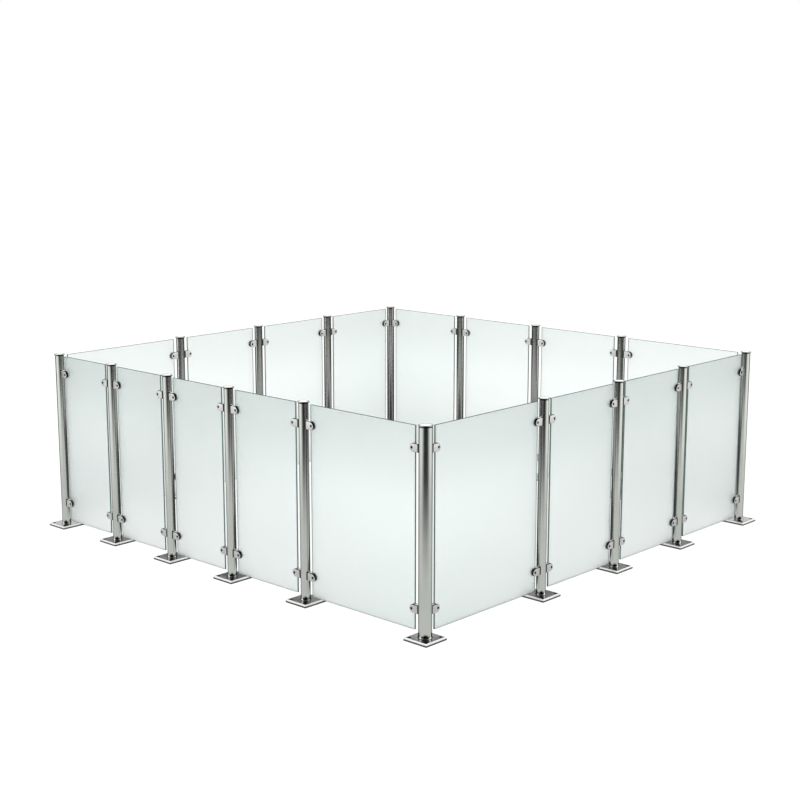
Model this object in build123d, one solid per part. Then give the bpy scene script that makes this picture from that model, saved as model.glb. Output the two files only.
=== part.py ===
from build123d import *
from collections import namedtuple
from itertools import accumulate
import os

# A closed fence enclosure. Round steel posts stand on base plates, and frosted panels hang between
# them in D-shaped clamps. The origin is on the floor under the middle of the plan, and +Z is up.
# The front corner is the one at low X and low Y. Sizes are in millimetres.

# Plan, from post axis to post axis
enclosure_width = 2715.0
enclosure_depth = 2785.0

# Bays of each side from its start corner. The last bay of a side takes what is left of its length
front_right_bays = (850.0, 620.0, 595.0)
front_left_bays = (785.0, 545.0, 490.0, 480.0)
back_left_bays = (865.0, 630.0, 610.0)
back_right_bays = (855.0, 660.0, 630.0)

# Post: a tube welded to a square base plate, closed by a pressed-in cap. The front corner post has
# the thick tube and all the others have the thin one
post_height = 1000.0
thin_tube_diameter = 48.3
thick_tube_diameter = 63.5
tube_wall = 2.5
plate_side = 140.0
plate_thickness = 15.0
plate_chamfer = 6.0
weld_leg = 4.0
weld_throat_dip = 0.6
anchor_spacing = 100.0
anchor_hole_diameter = 12.0
cap_thickness = 5.0
thin_cap_overhang = 5.0
thick_cap_overhang = 1.5
cap_edge_chamfer = 1.0
cap_spigot_length = 15.0
cap_spigot_wall = 3.0
cap_fit_clearance = 0.15

# Panel
panel_thickness = 9.5
panel_arris = 0.8
panel_floor_gap = 38.0
panel_top_drop = 10.0
panel_post_gap = 28.0

# Clamp, seen from outside: flat towards the post and half round at the far end
clamp_length = 50.0
clamp_height = 40.0
clamp_thickness = 28.0
clamp_setback = 4.25
clamp_chamfer = 2.0
upper_clamp_inset = 101.0
lower_clamp_inset = 101.0
pad_inset = 0.5
pad_tube_gap = 0.1
liner_thickness = 3.0
liner_inset = 0.5
liner_block_gap = 0.5
panel_block_gap = 2.0

# Screws: one through each clamp and its panel, and one from each clamp into its post
clamp_screw_diameter = 8.0
clamp_screw_head_diameter = 13.0
clamp_screw_socket = 5.0
post_screw_diameter = 6.0
post_screw_head_diameter = 10.0
post_screw_socket = 4.0
screw_head_height = 4.0
socket_depth = 2.5
head_recess = 0.5
head_clearance = 0.3
shank_clearance = 0.3
thread_clearance = 0.1
panel_hole_clearance = 1.5
clamp_screw_inset = 13.5
clamp_screw_tip_recess = 1.0
post_screw_recess = 2.0
post_screw_reach = 3.0

# Sizes that follow from those above. Those along a clamp are from the face of its tube
tube_top = post_height - cap_thickness
panel_height = post_height - panel_top_drop - panel_floor_gap
clamp_end = clamp_setback + clamp_length
clamp_screw_x = clamp_end - clamp_screw_inset
block_end = panel_post_gap - panel_block_gap
half_clamp = clamp_thickness / 2
half_panel = panel_thickness / 2
leg_face = half_panel + liner_thickness
clamp_screw_radius = clamp_screw_diameter / 2
post_screw_radius = post_screw_diameter / 2
cover_seat = half_clamp - head_recess - screw_head_height
post_screw_seat = block_end - post_screw_recess - screw_head_height
clamp_levels = (
    panel_floor_gap + lower_clamp_inset,
    panel_floor_gap + panel_height - upper_clamp_inset,
)

# The two kinds of tube
Tube = namedtuple("Tube", "radius cap_overhang")

thin_tube = Tube(thin_tube_diameter / 2, thin_cap_overhang)
thick_tube = Tube(thick_tube_diameter / 2, thick_cap_overhang)
corner_tubes = {"front": thick_tube, "right": thin_tube, "back": thin_tube, "left": thin_tube}

# Corners and sides of the plan, each side with the way that faces out of the enclosure
Side = namedtuple("Side", "start end outward bays")
Post = namedtuple("Post", "name point tube")

corners = {
    "front": Vector(-enclosure_width / 2, -enclosure_depth / 2),
    "right": Vector(enclosure_width / 2, -enclosure_depth / 2),
    "back": Vector(enclosure_width / 2, enclosure_depth / 2),
    "left": Vector(-enclosure_width / 2, enclosure_depth / 2),
}

sides = {
    "front_right": Side("front", "right", Vector(0, -1, 0), front_right_bays),
    "front_left": Side("front", "left", Vector(-1, 0, 0), front_left_bays),
    "back_left": Side("left", "back", Vector(0, 1, 0), back_left_bays),
    "back_right": Side("right", "back", Vector(1, 0, 0), back_right_bays),
}


def corner_post(corner):
    """The post at a corner of the plan."""
    return Post(f"post_{corner}_corner", corners[corner], corner_tubes[corner])


def side_way(side):
    """The direction from a side's start corner to its end corner."""
    return (corners[side.end] - corners[side.start]).normalized()


def side_posts(side_name, side):
    """The posts of one side from its start corner to its end corner."""
    way = side_way(side)
    middle = [
        Post(f"post_{side_name}_{number}", corners[side.start] + way * distance, thin_tube)
        for number, distance in enumerate(accumulate(side.bays), start=1)
    ]
    return [corner_post(side.start), *middle, corner_post(side.end)]


def upright(radius, height):
    """A cylinder along Z that stands on the XY plane."""
    return extrude(Circle(radius), height)


def slab(outline, low, high):
    """A flat outline made solid between two heights of its own frame."""
    return Pos(0, 0, low) * extrude(outline, high - low)


# Post

def make_base_plate():
    """Square plate with bevelled top edges and four anchor holes."""
    plate = extrude(Rectangle(plate_side, plate_side), plate_thickness)
    plate = chamfer(plate.faces().sort_by(Axis.Z)[-1].edges(), plate_chamfer)
    holes = GridLocations(anchor_spacing, anchor_spacing, 2, 2) * upright(
        anchor_hole_diameter / 2, plate_thickness
    )
    return plate - holes


def make_weld(tube):
    """Bead round the foot of the tube, with a slightly hollow face."""
    foot = (tube.radius, plate_thickness)
    toe = (tube.radius + weld_leg, plate_thickness)
    top = (tube.radius, plate_thickness + weld_leg)
    dip = weld_leg / 2 - weld_throat_dip
    middle = (tube.radius + dip, plate_thickness + dip)
    section = Polyline(top, foot, toe) + ThreePointArc(toe, middle, top)
    return revolve(make_face(Plane.XZ * section), Axis.Z)


def make_post(tube, panel_ways):
    """Tube, base plate and weld in one piece, drilled for the clamps on the ways to its panels."""
    ring = Circle(tube.radius) - Circle(tube.radius - tube_wall)
    post = make_base_plate() + slab(ring, plate_thickness, tube_top) + make_weld(tube)
    drill = upright(post_screw_radius + thread_clearance, tube.radius)
    for way in panel_ways:
        for level in clamp_levels:
            post -= Plane(origin=(0, 0, level), z_dir=way).location * drill
    return post


def make_cap(tube):
    """Flat cap with a bevelled rim, proud of the tube, and a hollow spigot inside it."""
    lid = slab(Circle(tube.radius + tube.cap_overhang), tube_top, post_height)
    lid = chamfer(lid.faces().sort_by(Axis.Z)[-1].edges(), cap_edge_chamfer)
    spigot_radius = tube.radius - tube_wall - cap_fit_clearance
    ring = Circle(spigot_radius) - Circle(spigot_radius - cap_spigot_wall)
    return lid + slab(ring, tube_top - cap_spigot_length, tube_top)


# Panel, in a frame with its middle between its ends, Y up from the floor and Z out of the enclosure

def make_panel(length):
    """Frosted sheet with broken edges and a hole for each clamp screw."""
    middle = panel_floor_gap + panel_height / 2
    sheet = Pos(0, middle) * Box(length, panel_height, panel_thickness)
    sheet = chamfer(sheet.edges(), panel_arris)
    hole = slab(Circle(clamp_screw_radius + panel_hole_clearance), -half_panel, half_panel)
    screw_x = length / 2 + panel_post_gap - clamp_screw_x
    for level in clamp_levels:
        for x in (-screw_x, screw_x):
            sheet -= Pos(x, level) * hole
    return sheet


# Clamp pieces, in a frame with X from the tube's face along the panel, Y up and Z out of the enclosure

def clamp_outline(inset=0.0):
    """The clamp's outline, or one drawn in from it by an inset."""
    radius = clamp_height / 2 - inset
    round_centre = clamp_end - clamp_height / 2
    straight = round_centre - clamp_setback
    flat = Pos(round_centre - straight / 2, 0) * Rectangle(straight, 2 * radius)
    return flat + Pos(round_centre, 0) * Circle(radius)


def along_panel(shape):
    """Turns a shape that stands along Z so that it points along the panel."""
    return Rot(0, 90, 0) * shape


def make_jaw():
    """Inner half of a clamp: rear leg, and the block between the post and the panel's edge."""
    jaw = slab(clamp_outline(), -half_clamp, leg_face)
    jaw = chamfer(jaw.faces().sort_by(Axis.Z)[0].edges(), clamp_chamfer)
    jaw -= Pos(block_end, 0, -leg_face) * Box(
        clamp_length, 2 * clamp_height, clamp_thickness, align=(Align.MIN, Align.CENTER, Align.MIN)
    )
    jaw -= Pos(clamp_screw_x, 0) * slab(
        Circle(clamp_screw_radius + thread_clearance), -half_clamp, -leg_face
    )
    jaw -= along_panel(upright(post_screw_radius + shank_clearance, block_end))
    counterbore = slab(
        Circle(post_screw_head_diameter / 2 + head_clearance), post_screw_seat, block_end
    )
    return jaw - along_panel(counterbore)


def make_cover():
    """Outer half of a clamp: a plate with a bevelled rim and a counterbored screw hole."""
    cover = slab(clamp_outline(), leg_face, half_clamp)
    cover = chamfer(cover.faces().sort_by(Axis.Z)[-1].edges(), clamp_chamfer)
    hole = slab(Circle(clamp_screw_radius + shank_clearance), leg_face, half_clamp)
    counterbore = slab(
        Circle(clamp_screw_head_diameter / 2 + head_clearance), cover_seat, half_clamp
    )
    return cover - Pos(clamp_screw_x, 0) * (hole + counterbore)


def make_liner():
    """Rubber sheet between the outer face of the panel and the clamp."""
    sheet = slab(clamp_outline(liner_inset), half_panel, leg_face)
    cut_length = block_end + liner_block_gap
    sheet -= Pos(cut_length / 2, 0, half_panel) * Box(cut_length, 2 * clamp_height, clamp_thickness)
    hole = slab(Circle(clamp_screw_radius + panel_hole_clearance), half_panel, leg_face)
    return sheet - Pos(clamp_screw_x, 0) * hole


def make_liner_pair():
    """The liners on both faces of the panel."""
    liner = make_liner()
    return [liner, Rot(180, 0, 0) * liner]


def make_pad(tube):
    """Rubber block that fills the gap between a tube and the clamp's flat end."""
    length = tube.radius + clamp_setback
    block = Pos(length / 2, 0) * Box(
        length, clamp_height - 2 * pad_inset, clamp_thickness - 2 * pad_inset
    )
    block -= Rot(90, 0, 0) * Cylinder(tube.radius + pad_tube_gap, clamp_height)
    block -= along_panel(upright(post_screw_radius + shank_clearance, length))
    return Pos(-tube.radius, 0) * block


def make_screw(diameter, head_diameter, across_flats, length):
    """Low-headed socket screw along Z, with its head's seat on the XY plane and its shank below."""
    socket = extrude(RegularPolygon(across_flats / 2, 6, major_radius=False), socket_depth)
    head = upright(head_diameter / 2, screw_head_height)
    head -= Pos(0, 0, screw_head_height - socket_depth) * socket
    return head + slab(Circle(diameter / 2), -length, 0)


def make_clamp_screw():
    """Pulls the cover, the panel and the jaw together."""
    length = cover_seat + half_clamp - clamp_screw_tip_recess
    screw = make_screw(
        clamp_screw_diameter, clamp_screw_head_diameter, clamp_screw_socket, length
    )
    return Pos(clamp_screw_x, 0, cover_seat) * screw


def make_post_screw():
    """Holds the jaw to the wall of the tube, with its head in the block beside the panel."""
    length = post_screw_seat + tube_wall + post_screw_reach
    screw = make_screw(post_screw_diameter, post_screw_head_diameter, post_screw_socket, length)
    return along_panel(Pos(0, 0, post_screw_seat) * screw)


# Placing

def write(name, pieces):
    """Writes the solids of one node to its own file."""
    solids = [solid for piece in pieces for solid in piece.solids()]
    export_step(Compound(children=solids), f"parts/{name}.step")


def clamp_places(side_name, side):
    """The tube and the frame of each clamp of a side: two on both ends of every panel."""
    posts = side_posts(side_name, side)
    way = side_way(side)
    ends = [(post, way) for post in posts[:-1]] + [(post, -way) for post in posts[1:]]
    return [
        (
            post.tube,
            Plane(
                origin=post.point + panel_way * post.tube.radius + Vector(0, 0, level),
                x_dir=panel_way,
                z_dir=side.outward,
            ).location,
        )
        for post, panel_way in ends
        for level in clamp_levels
    ]


def write_posts():
    """Writes every post once, drilled towards each panel that it holds, and all the caps."""
    posts = {}
    panel_ways = {}
    for side_name, side in sides.items():
        side_line = side_posts(side_name, side)
        way = side_way(side)
        for first, second in zip(side_line, side_line[1:]):
            panel_ways.setdefault(first.name, []).append(way)
            panel_ways.setdefault(second.name, []).append(-way)
        posts.update((post.name, post) for post in side_line)
    for name, post in posts.items():
        write(name, [Location(post.point) * make_post(post.tube, panel_ways[name])])
    caps = {tube: make_cap(tube) for tube in (thin_tube, thick_tube)}
    write("post_caps", [Location(post.point) * caps[post.tube] for post in posts.values()])


def write_panels():
    """Writes each side's panels, numbered from its start corner."""
    for side_name, side in sides.items():
        posts = side_posts(side_name, side)
        way = side_way(side)
        for number, (first, second) in enumerate(zip(posts, posts[1:]), start=1):
            start = first.point + way * (first.tube.radius + panel_post_gap)
            end = second.point - way * (second.tube.radius + panel_post_gap)
            level_way = Axis.Z.direction.cross(side.outward)
            frame = Plane(origin=(start + end) / 2, x_dir=level_way, z_dir=side.outward)
            panel = make_panel((end - start).length)
            write(f"panel_{side_name}_{number}", [frame.location * panel])


def write_clamps():
    """Writes the clamp pieces of each side, one node for each kind of piece."""
    kinds = {
        "clamp_jaws": [make_jaw()],
        "clamp_covers": [make_cover()],
        "clamp_liners": make_liner_pair(),
        "clamp_screws": [make_clamp_screw()],
        "post_screws": [make_post_screw()],
    }
    pads = {tube: make_pad(tube) for tube in (thin_tube, thick_tube)}
    for side_name, side in sides.items():
        places = clamp_places(side_name, side)
        for kind, pieces in kinds.items():
            placed = [place * piece for _, place in places for piece in pieces]
            write(f"{kind}_{side_name}", placed)
        write(f"clamp_pads_{side_name}", [place * pads[tube] for tube, place in places])


os.makedirs("parts", exist_ok=True)
write_posts()
write_panels()
write_clamps()
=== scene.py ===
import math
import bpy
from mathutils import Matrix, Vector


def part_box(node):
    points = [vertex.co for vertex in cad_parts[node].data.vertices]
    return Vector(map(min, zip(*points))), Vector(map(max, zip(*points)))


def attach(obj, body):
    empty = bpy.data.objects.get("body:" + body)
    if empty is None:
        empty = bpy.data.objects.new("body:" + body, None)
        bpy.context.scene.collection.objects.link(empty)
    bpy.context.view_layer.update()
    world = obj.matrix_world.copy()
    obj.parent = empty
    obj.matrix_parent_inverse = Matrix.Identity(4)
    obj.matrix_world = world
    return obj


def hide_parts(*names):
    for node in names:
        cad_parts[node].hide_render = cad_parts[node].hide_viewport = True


bl_info = {
    "name": "Post and panel fence enclosure",
    "version": (1, 0, 0),
    "blender": (4, 5, 0),
    "location": "View3D > Sidebar > Enclosure",
    "description": "Steel posts, clamps and frosted panels of a closed fence, on a plain studio stage",
    "category": "Object",
}

import bmesh
import bpy
from mathutils import Matrix, Vector

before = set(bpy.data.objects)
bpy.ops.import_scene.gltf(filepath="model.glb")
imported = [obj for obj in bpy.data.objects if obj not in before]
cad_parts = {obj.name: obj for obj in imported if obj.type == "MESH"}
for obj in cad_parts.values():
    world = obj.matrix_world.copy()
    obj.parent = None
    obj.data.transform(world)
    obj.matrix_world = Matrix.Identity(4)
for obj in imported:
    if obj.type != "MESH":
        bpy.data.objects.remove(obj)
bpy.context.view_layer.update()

BODY = "root"
UP = Vector((0.0, 0.0, 1.0))
OUTWARD = {
    "front_right": Vector((0.0, -1.0, 0.0)),
    "front_left": Vector((-1.0, 0.0, 0.0)),
    "back_left": Vector((0.0, 1.0, 0.0)),
    "back_right": Vector((1.0, 0.0, 0.0)),
}
THICK_POST = "post_front_corner"
UPRIGHT = (0.0, 0.0, 0.0)

# Facets of round shapes, and the steps of a rounded edge
TUBE_FACETS = 96
SCREW_FACETS = 24
HOLE_FACETS = 20
ARC_FACETS = 24
HOLLOW_FACETS = 12
EDGE_STEPS = 4

# A face counts as a wall when its normal rises less than this. Edges sharper than the angle stay sharp
WALL_SLOPE = 0.4
SHARP_ANGLE = math.radians(28.0)

# Points of a weld's hollow face, and loops of a cap's dome, as shares of the leg and of the radius
WELD_SHOULDER = (0.68, 0.42)
DOME_LOOPS = (0.85, 0.65, 0.45, 0.25, 0.1)


# Settings that a user would change

def number(name, description, default, **more):
    """A number, with its unit, subtype or limits."""
    return bpy.props.FloatProperty(name=name, description=description, default=default, **more)


def length(name, description, default):
    """A length in metres."""
    return number(name, description, default, min=0.0, unit="LENGTH", precision=5)


def share(name, description, default):
    """A number from nought to one."""
    return number(name, description, default, min=0.0, max=1.0, subtype="FACTOR")


def colour(name, description, default):
    """A surface colour."""
    return bpy.props.FloatVectorProperty(
        name=name, description=description, default=default, size=3, min=0.0, max=1.0, subtype="COLOR"
    )


class EnclosurePostSizes(bpy.types.PropertyGroup):
    thin_radius: length("Thin tube radius", "Outer radius of most tubes", 0.02415)
    thick_radius: length("Thick tube radius", "Outer radius of the front corner's tube", 0.03175)
    tube_wall: length("Tube wall", "Wall thickness of the tube", 0.0025)
    tube_top: length("Tube top", "Height of the tube's upper end", 0.995)
    plate_side: length("Plate side", "Side of the square base plate", 0.140)
    plate_thickness: length("Plate thickness", "Thickness of the base plate", 0.015)
    plate_bevel: length("Plate bevel", "Width of the bevel round the plate's top", 0.006)
    edge_radius: length("Edge radius", "Rounding of the sawn and bevelled edges", 0.0005)
    anchor_spacing: length("Anchor spacing", "Distance between the anchor holes", 0.100)
    anchor_radius: length("Anchor hole radius", "Radius of an anchor hole", 0.006)
    anchor_mouth: length("Anchor hole mouth", "Radius of an anchor hole at the plate's top", 0.0085)
    anchor_flare: length("Anchor hole flare", "Depth over which an anchor hole widens", 0.009)
    weld_leg: length("Weld leg", "Width and height of the weld bead", 0.004)
    weld_dip: length("Weld dip", "How far the bead's face is hollow", 0.0006)
    tube_sink: length("Tube sink", "How far the tube's end sits in the plate", 0.0005)


class EnclosureCapSizes(bpy.types.PropertyGroup):
    thickness: length("Thickness", "Thickness of the cap's lid", 0.005)
    thin_overhang: length("Thin tube overhang", "How far the lid stands out from a thin tube", 0.005)
    thick_overhang: length("Thick tube overhang", "How far the lid stands out from the thick tube", 0.0015)
    rim_radius: length("Rim radius", "Rounding of the lid's upper rim", 0.0005)
    dome: length("Dome", "How far the middle of the lid stands above its rim", 0.0006)
    spigot_length: length("Spigot length", "Depth of the spigot in the tube", 0.015)
    spigot_wall: length("Spigot wall", "Wall thickness of the spigot", 0.003)
    spigot_gap: length("Spigot gap", "Clearance between the spigot and the tube", 0.00015)


class EnclosureClampSizes(bpy.types.PropertyGroup):
    start: length("Start", "From the tube's face to the clamp's flat end", 0.00425)
    length: length("Length", "From the flat end to the round end", 0.050)
    height: length("Height", "Height of the clamp", 0.040)
    thickness: length("Thickness", "Over both halves of the clamp", 0.028)
    rim: length("Rim", "Width of the rounded rim", 0.003)
    lower_level: length("Lower level", "Height of the lower clamps", 0.139)
    upper_level: length("Upper level", "Height of the upper clamps", 0.889)
    block_end: length("Block end", "From the tube's face to the end of the block", 0.026)
    pad_inset: length("Pad inset", "How far the rubber block stays inside the clamp's section", 0.0005)
    pad_gap: length("Pad gap", "Clearance between the rubber block and the tube", 0.0001)
    liner_face: length("Liner face", "From the panel's middle to the liner's outer face", 0.00775)
    panel_face: length("Panel face", "Half the panel's thickness", 0.00475)
    liner_inset: length("Liner inset", "How far the liner stays inside the clamp's outline", 0.0005)
    liner_gap: length("Liner gap", "From the block's end to the liner", 0.0005)
    panel_gap: length("Panel gap", "From the tube's face to the panel's edge", 0.028)


class EnclosureScrewSizes(bpy.types.PropertyGroup):
    inset: length("Inset", "From the clamp's round end to the screw's axis", 0.0135)
    radius: length("Radius", "Radius of the screw's shank", 0.004)
    head_radius: length("Head radius", "Radius of the screw's head", 0.0065)
    head_height: length("Head height", "Height of the screw's head", 0.004)
    head_recess: length("Head recess", "How deep the head sits below the cover's face", 0.0005)
    head_edge: length("Head edge", "Bevel of the head's rim", 0.0006)
    socket_flats: length("Socket flats", "Width of the hexagon socket", 0.005)
    socket_depth: length("Socket depth", "Depth of the hexagon socket", 0.0025)
    head_clearance: length("Head clearance", "Gap round the head", 0.0003)
    shank_clearance: length("Shank clearance", "Gap round the shank in the cover", 0.0003)
    thread_clearance: length("Thread clearance", "Gap round the shank in the jaw", 0.0001)
    liner_clearance: length("Liner clearance", "Gap round the shank in the liners", 0.0015)
    tip_recess: length("Tip recess", "How deep the screw's tip stays in the jaw", 0.001)
    jaw_mouth: length("Jaw mouth", "Radius of the jaw's hole at its inner face", 0.0065)
    jaw_flare: length("Jaw flare", "Depth over which the jaw's hole narrows to its bore", 0.0058)


class EnclosureFinishes(bpy.types.PropertyGroup):
    tube: colour("Tube", "Polished steel of the tubes and caps", (0.58, 0.605, 0.57))
    plate: colour("Plate", "Satin steel of the base plates", (0.33, 0.335, 0.33))
    clamp: colour("Clamp", "Satin steel of the clamps", (0.60, 0.60, 0.59))
    # The bevel colour is matt: a painted highlight on the plates' upper bevel that goes over into painted
    # shade down their sides
    bevel: colour("Bevel", "Polished bevel of the base plates", (0.42, 0.42, 0.41))
    # The wall colour is painted shade, near black, on the side walls of the clamps and lids, low down the
    # plates' sides and in the mouths of their anchor holes
    wall: colour("Wall", "Blackened side walls of the clamps and caps", (0.02, 0.02, 0.02))
    weld: colour("Weld", "Bead at the foot of the tubes", (0.50, 0.50, 0.49))
    screw: colour("Screw", "Dark screws", (0.02, 0.02, 0.02))
    rubber: colour("Rubber", "Liners and rubber blocks", (0.012, 0.012, 0.012))
    panel: colour("Panel", "Tint of the frosted faces", (0.90, 0.965, 0.945))
    panel_edge: colour("Panel edge", "Tint of the polished edges", (0.20, 0.28, 0.26))
    tube_roughness: share("Tube roughness", "Roughness of the polished tubes", 0.16)
    plate_roughness: share("Plate roughness", "Roughness of the base plates", 0.28)
    clamp_roughness: share("Clamp roughness", "Roughness of the clamps", 0.30)
    panel_roughness: share("Panel roughness", "How strongly the panels blur", 0.42)


class EnclosureStage(bpy.types.PropertyGroup):
    floor_radius: length("Floor radius", "Radius of the floor", 80.0)
    floor_colour: colour("Floor colour", "Colour of the floor", (0.80, 0.80, 0.80))
    inside_half_x: length("Inside half X", "Half of the fenced floor along X", 1.22)
    inside_half_y: length("Inside half Y", "Half of the fenced floor along Y", 1.255)
    camera_distance_x: number("Camera X", "The camera's place along X", -6.210794, unit="LENGTH")
    camera_distance_y: number("Camera Y", "The camera's place along Y", -5.777276, unit="LENGTH")
    camera_height: length("Camera height", "The camera's height", 2.405408)
    camera_turn: number("Camera turn", "Turn from +Y towards +X", math.radians(46.90711), subtype="ANGLE")
    camera_dip: number("Camera dip", "How far it looks down", math.radians(11.19696), subtype="ANGLE")
    lens: number("Lens", "Focal length in millimetres", 68.2986, min=1.0)
    daylight: number("Daylight", "Strength of the even light all round", 0.85, min=0.0)
    glow: share("Glow", "How much brighter the backdrop is through a sheet", 0.12)


# Mesh making, with outlines as lists of (x, y) and heights along Z

def circle(radius, count, centre_x=0.0):
    """Points of a circle about a point on the X axis."""
    turns = [2.0 * math.pi * step / count for step in range(count)]
    return [(centre_x + radius * math.cos(turn), radius * math.sin(turn)) for turn in turns]


def square(side):
    """Corners of a square about the origin."""
    half = side / 2
    return [(half, -half), (half, half), (-half, half), (-half, -half)]


def hexagon(across_flats, count, centre_x=0.0):
    """Points on a hexagon, a whole number of them on each side."""
    apothem = across_flats / 2
    points = []
    for step in range(count):
        turn = 2.0 * math.pi * step / count
        off_flat = (turn % (math.pi / 3)) - math.pi / 6
        reach = apothem / math.cos(off_flat)
        points.append((centre_x + reach * math.cos(turn), reach * math.sin(turn)))
    return points


def new_loop(bm, points, height):
    """Vertices of one outline at one height."""
    return [bm.verts.new((x, y, height)) for x, y in points]


def wall(bm, rings):
    """Walls through a stack of (points, height) rings. Returns the loops."""
    loops = [new_loop(bm, points, height) for points, height in rings]
    for lower, upper in zip(loops, loops[1:]):
        bridge(bm, lower, upper)
    return loops


def bridge(bm, lower, upper):
    """One band of faces between two loops of as many vertices."""
    for index in range(len(lower)):
        bm.faces.new((lower[index - 1], lower[index], upper[index], upper[index - 1]))


def fill(bm, *loops):
    """A flat face inside the first loop and outside the others."""
    edges = [
        bm.edges.get((loop[index - 1], loop[index])) or bm.edges.new((loop[index - 1], loop[index]))
        for loop in loops
        for index in range(len(loop))
    ]
    bmesh.ops.triangle_fill(bm, use_beauty=True, use_dissolve=False, edges=edges)


def slab(bm, rings, holes=()):
    """A closed slab through a stack of rings, with a stack of rings for each hole."""
    outer = wall(bm, rings)
    inner = [wall(bm, hole) for hole in holes]
    fill(bm, outer[0], *[loops[0] for loops in inner])
    fill(bm, outer[-1], *[loops[-1] for loops in inner])


def solid(bm, rings):
    """Walls through a stack of rings, closed by a flat face at each end."""
    loops = wall(bm, rings)
    bm.faces.new(loops[0])
    bm.faces.new(loops[-1])


def turns_of(profile, count, centre_x=0.0):
    """Rings of a profile of (radius, height) turned about an upright axis."""
    return [(circle(radius, count, centre_x), height) for radius, height in profile]


def turned(bm, profile, count):
    """A closed profile turned about the Z axis."""
    loops = wall(bm, turns_of(profile, count))
    bridge(bm, loops[-1], loops[0])


def quarter(radius):
    """Offsets (inwards, downwards) of a rounded edge, from its side to its top."""
    turns = [math.pi / 2 * step / EDGE_STEPS for step in range(EDGE_STEPS + 1)]
    return [(radius * (1 - math.cos(turn)), radius * (1 - math.sin(turn))) for turn in turns]


def new_object(name, mesh):
    """An object of that mesh, linked to the scene."""
    made = bpy.data.objects.new(name, mesh)
    bpy.context.scene.collection.objects.link(made)
    return made


def pattern(name, make, *sizes):
    """One piece of a repeated kind, made by a function of a bmesh and its sizes."""
    bm = bmesh.new()
    make(bm, *sizes)
    bmesh.ops.recalc_face_normals(bm, faces=bm.faces)
    # Upright faces are marked as walls, for the painted shade that the finishes put on them
    walls = bm.faces.layers.float.new("wall")
    for face in bm.faces:
        face[walls] = float(abs(face.normal.z) < WALL_SLOPE)
    mesh = bpy.data.meshes.new(name)
    bm.to_mesh(mesh)
    bm.free()
    return new_object(name, mesh)


def smooth(mesh):
    """Smooth shading with sharp edges kept."""
    mesh.shade_smooth()
    mesh.set_sharp_from_angle(angle=SHARP_ANGLE)


# Places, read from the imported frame

def node_names(*kinds):
    """Names of the CAD nodes of those kinds."""
    return [name for name in sorted(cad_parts) if name.startswith(kinds)]


def post_nodes():
    """Names of the posts' own nodes, the thick one left out."""
    others = ("post_caps", THICK_POST, *node_names("post_screws"))
    return [name for name in node_names("post_") if name not in others]


def post_places(names):
    """Foot of each post's axis, with no turn."""
    places = []
    for name in names:
        low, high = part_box(name)
        places.append((Vector(((low.x + high.x) / 2, (low.y + high.y) / 2, 0.0)), UPRIGHT))
    return places


def side_of(name):
    """The side that a node's name gives."""
    return next(side for side in OUTWARD if side in name)


def clamp_frames(panel_gap):
    """Place on the tube's face, at the floor, and turn for both ends of every panel."""
    frames = []
    for name in node_names("panel_"):
        low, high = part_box(name)
        outward = OUTWARD[side_of(name)]
        run = UP.cross(outward)
        middle = (low + high) / 2
        half_run = abs((high - low).dot(run)) / 2
        for way in (run, -run):
            foot = middle - way * (half_run + panel_gap)
            axes = Matrix((way, outward.cross(way), outward)).transposed()
            frames.append((Vector((foot.x, foot.y, 0.0)), axes.to_euler()))
    return frames


def at_thick_post(place, radius):
    """Whether a clamp's place is on the face of the thick tube."""
    centre = post_places([THICK_POST])[0][0]
    return (place - centre).length < radius * 2


def point_cloud(name, places):
    """Loose points with the turn of the piece that goes on each."""
    mesh = bpy.data.meshes.new(name)
    mesh.from_pydata([place for place, turn in places], [], [])
    turns = mesh.attributes.new("turn", "FLOAT_VECTOR", "POINT")
    turns.data.foreach_set("vector", [angle for place, turn in places for angle in turn])
    return new_object(name, mesh)


# Nodes

def feed(tree, value, socket):
    """Links a socket, or sets a number, name or colour."""
    if isinstance(value, bpy.types.NodeSocket):
        tree.links.new(value, socket)
    else:
        socket.default_value = value


def add_node(tree, kind, traits=None, *values, **inputs):
    """A new node's outputs. Its inputs are fed in their order or by name, with underscores for spaces."""
    node = tree.nodes.new(kind)
    for name, value in (traits or {}).items():
        setattr(node, name, value)
    for socket, value in zip(node.inputs, values):
        feed(tree, value, socket)
    for name, value in inputs.items():
        feed(tree, value, node.inputs[name.replace("_", " ")])
    return node.outputs


# Geometry Nodes that repeat a pattern

def repeat_tree(name, level_names):
    """A tree that stands one pattern on every point, at each named level."""
    tree = bpy.data.node_groups.new(name, "GeometryNodeTree")
    face = tree.interface
    for socket, kind in (("Points", "Geometry"), ("Pattern", "Object"), ("Finish", "Material")):
        face.new_socket(socket, in_out="INPUT", socket_type="NodeSocket" + kind)
    for level_name in level_names:
        level = face.new_socket(level_name, in_out="INPUT", socket_type="NodeSocketFloat")
        level.subtype = "DISTANCE"
    face.new_socket("Pieces", in_out="OUTPUT", socket_type="NodeSocketGeometry")
    given = add_node(tree, "NodeGroupInput")
    joined = tree.nodes.new("GeometryNodeJoinGeometry")
    for level_name in level_names:
        shift = add_node(tree, "ShaderNodeCombineXYZ", Z=given[level_name])["Vector"]
        raised = add_node(tree, "GeometryNodeTransform", Geometry=given["Points"], Translation=shift)
        tree.links.new(raised["Geometry"], joined.inputs["Geometry"])
    turn = add_node(tree, "GeometryNodeInputNamedAttribute", {"data_type": "FLOAT_VECTOR"}, Name="turn")
    placed = add_node(
        tree,
        "GeometryNodeInstanceOnPoints",
        Points=joined.outputs["Geometry"],
        Instance=add_node(tree, "GeometryNodeObjectInfo", Object=given["Pattern"])["Geometry"],
        Rotation=add_node(tree, "FunctionNodeEulerToRotation", Euler=turn["Attribute"])["Rotation"],
    )
    real = add_node(tree, "GeometryNodeRealizeInstances", Geometry=placed["Instances"])["Geometry"]
    finished = add_node(tree, "GeometryNodeSetMaterial", Geometry=real, Material=given["Finish"])
    add_node(tree, "NodeGroupOutput", Pieces=finished["Geometry"])
    return tree


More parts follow.
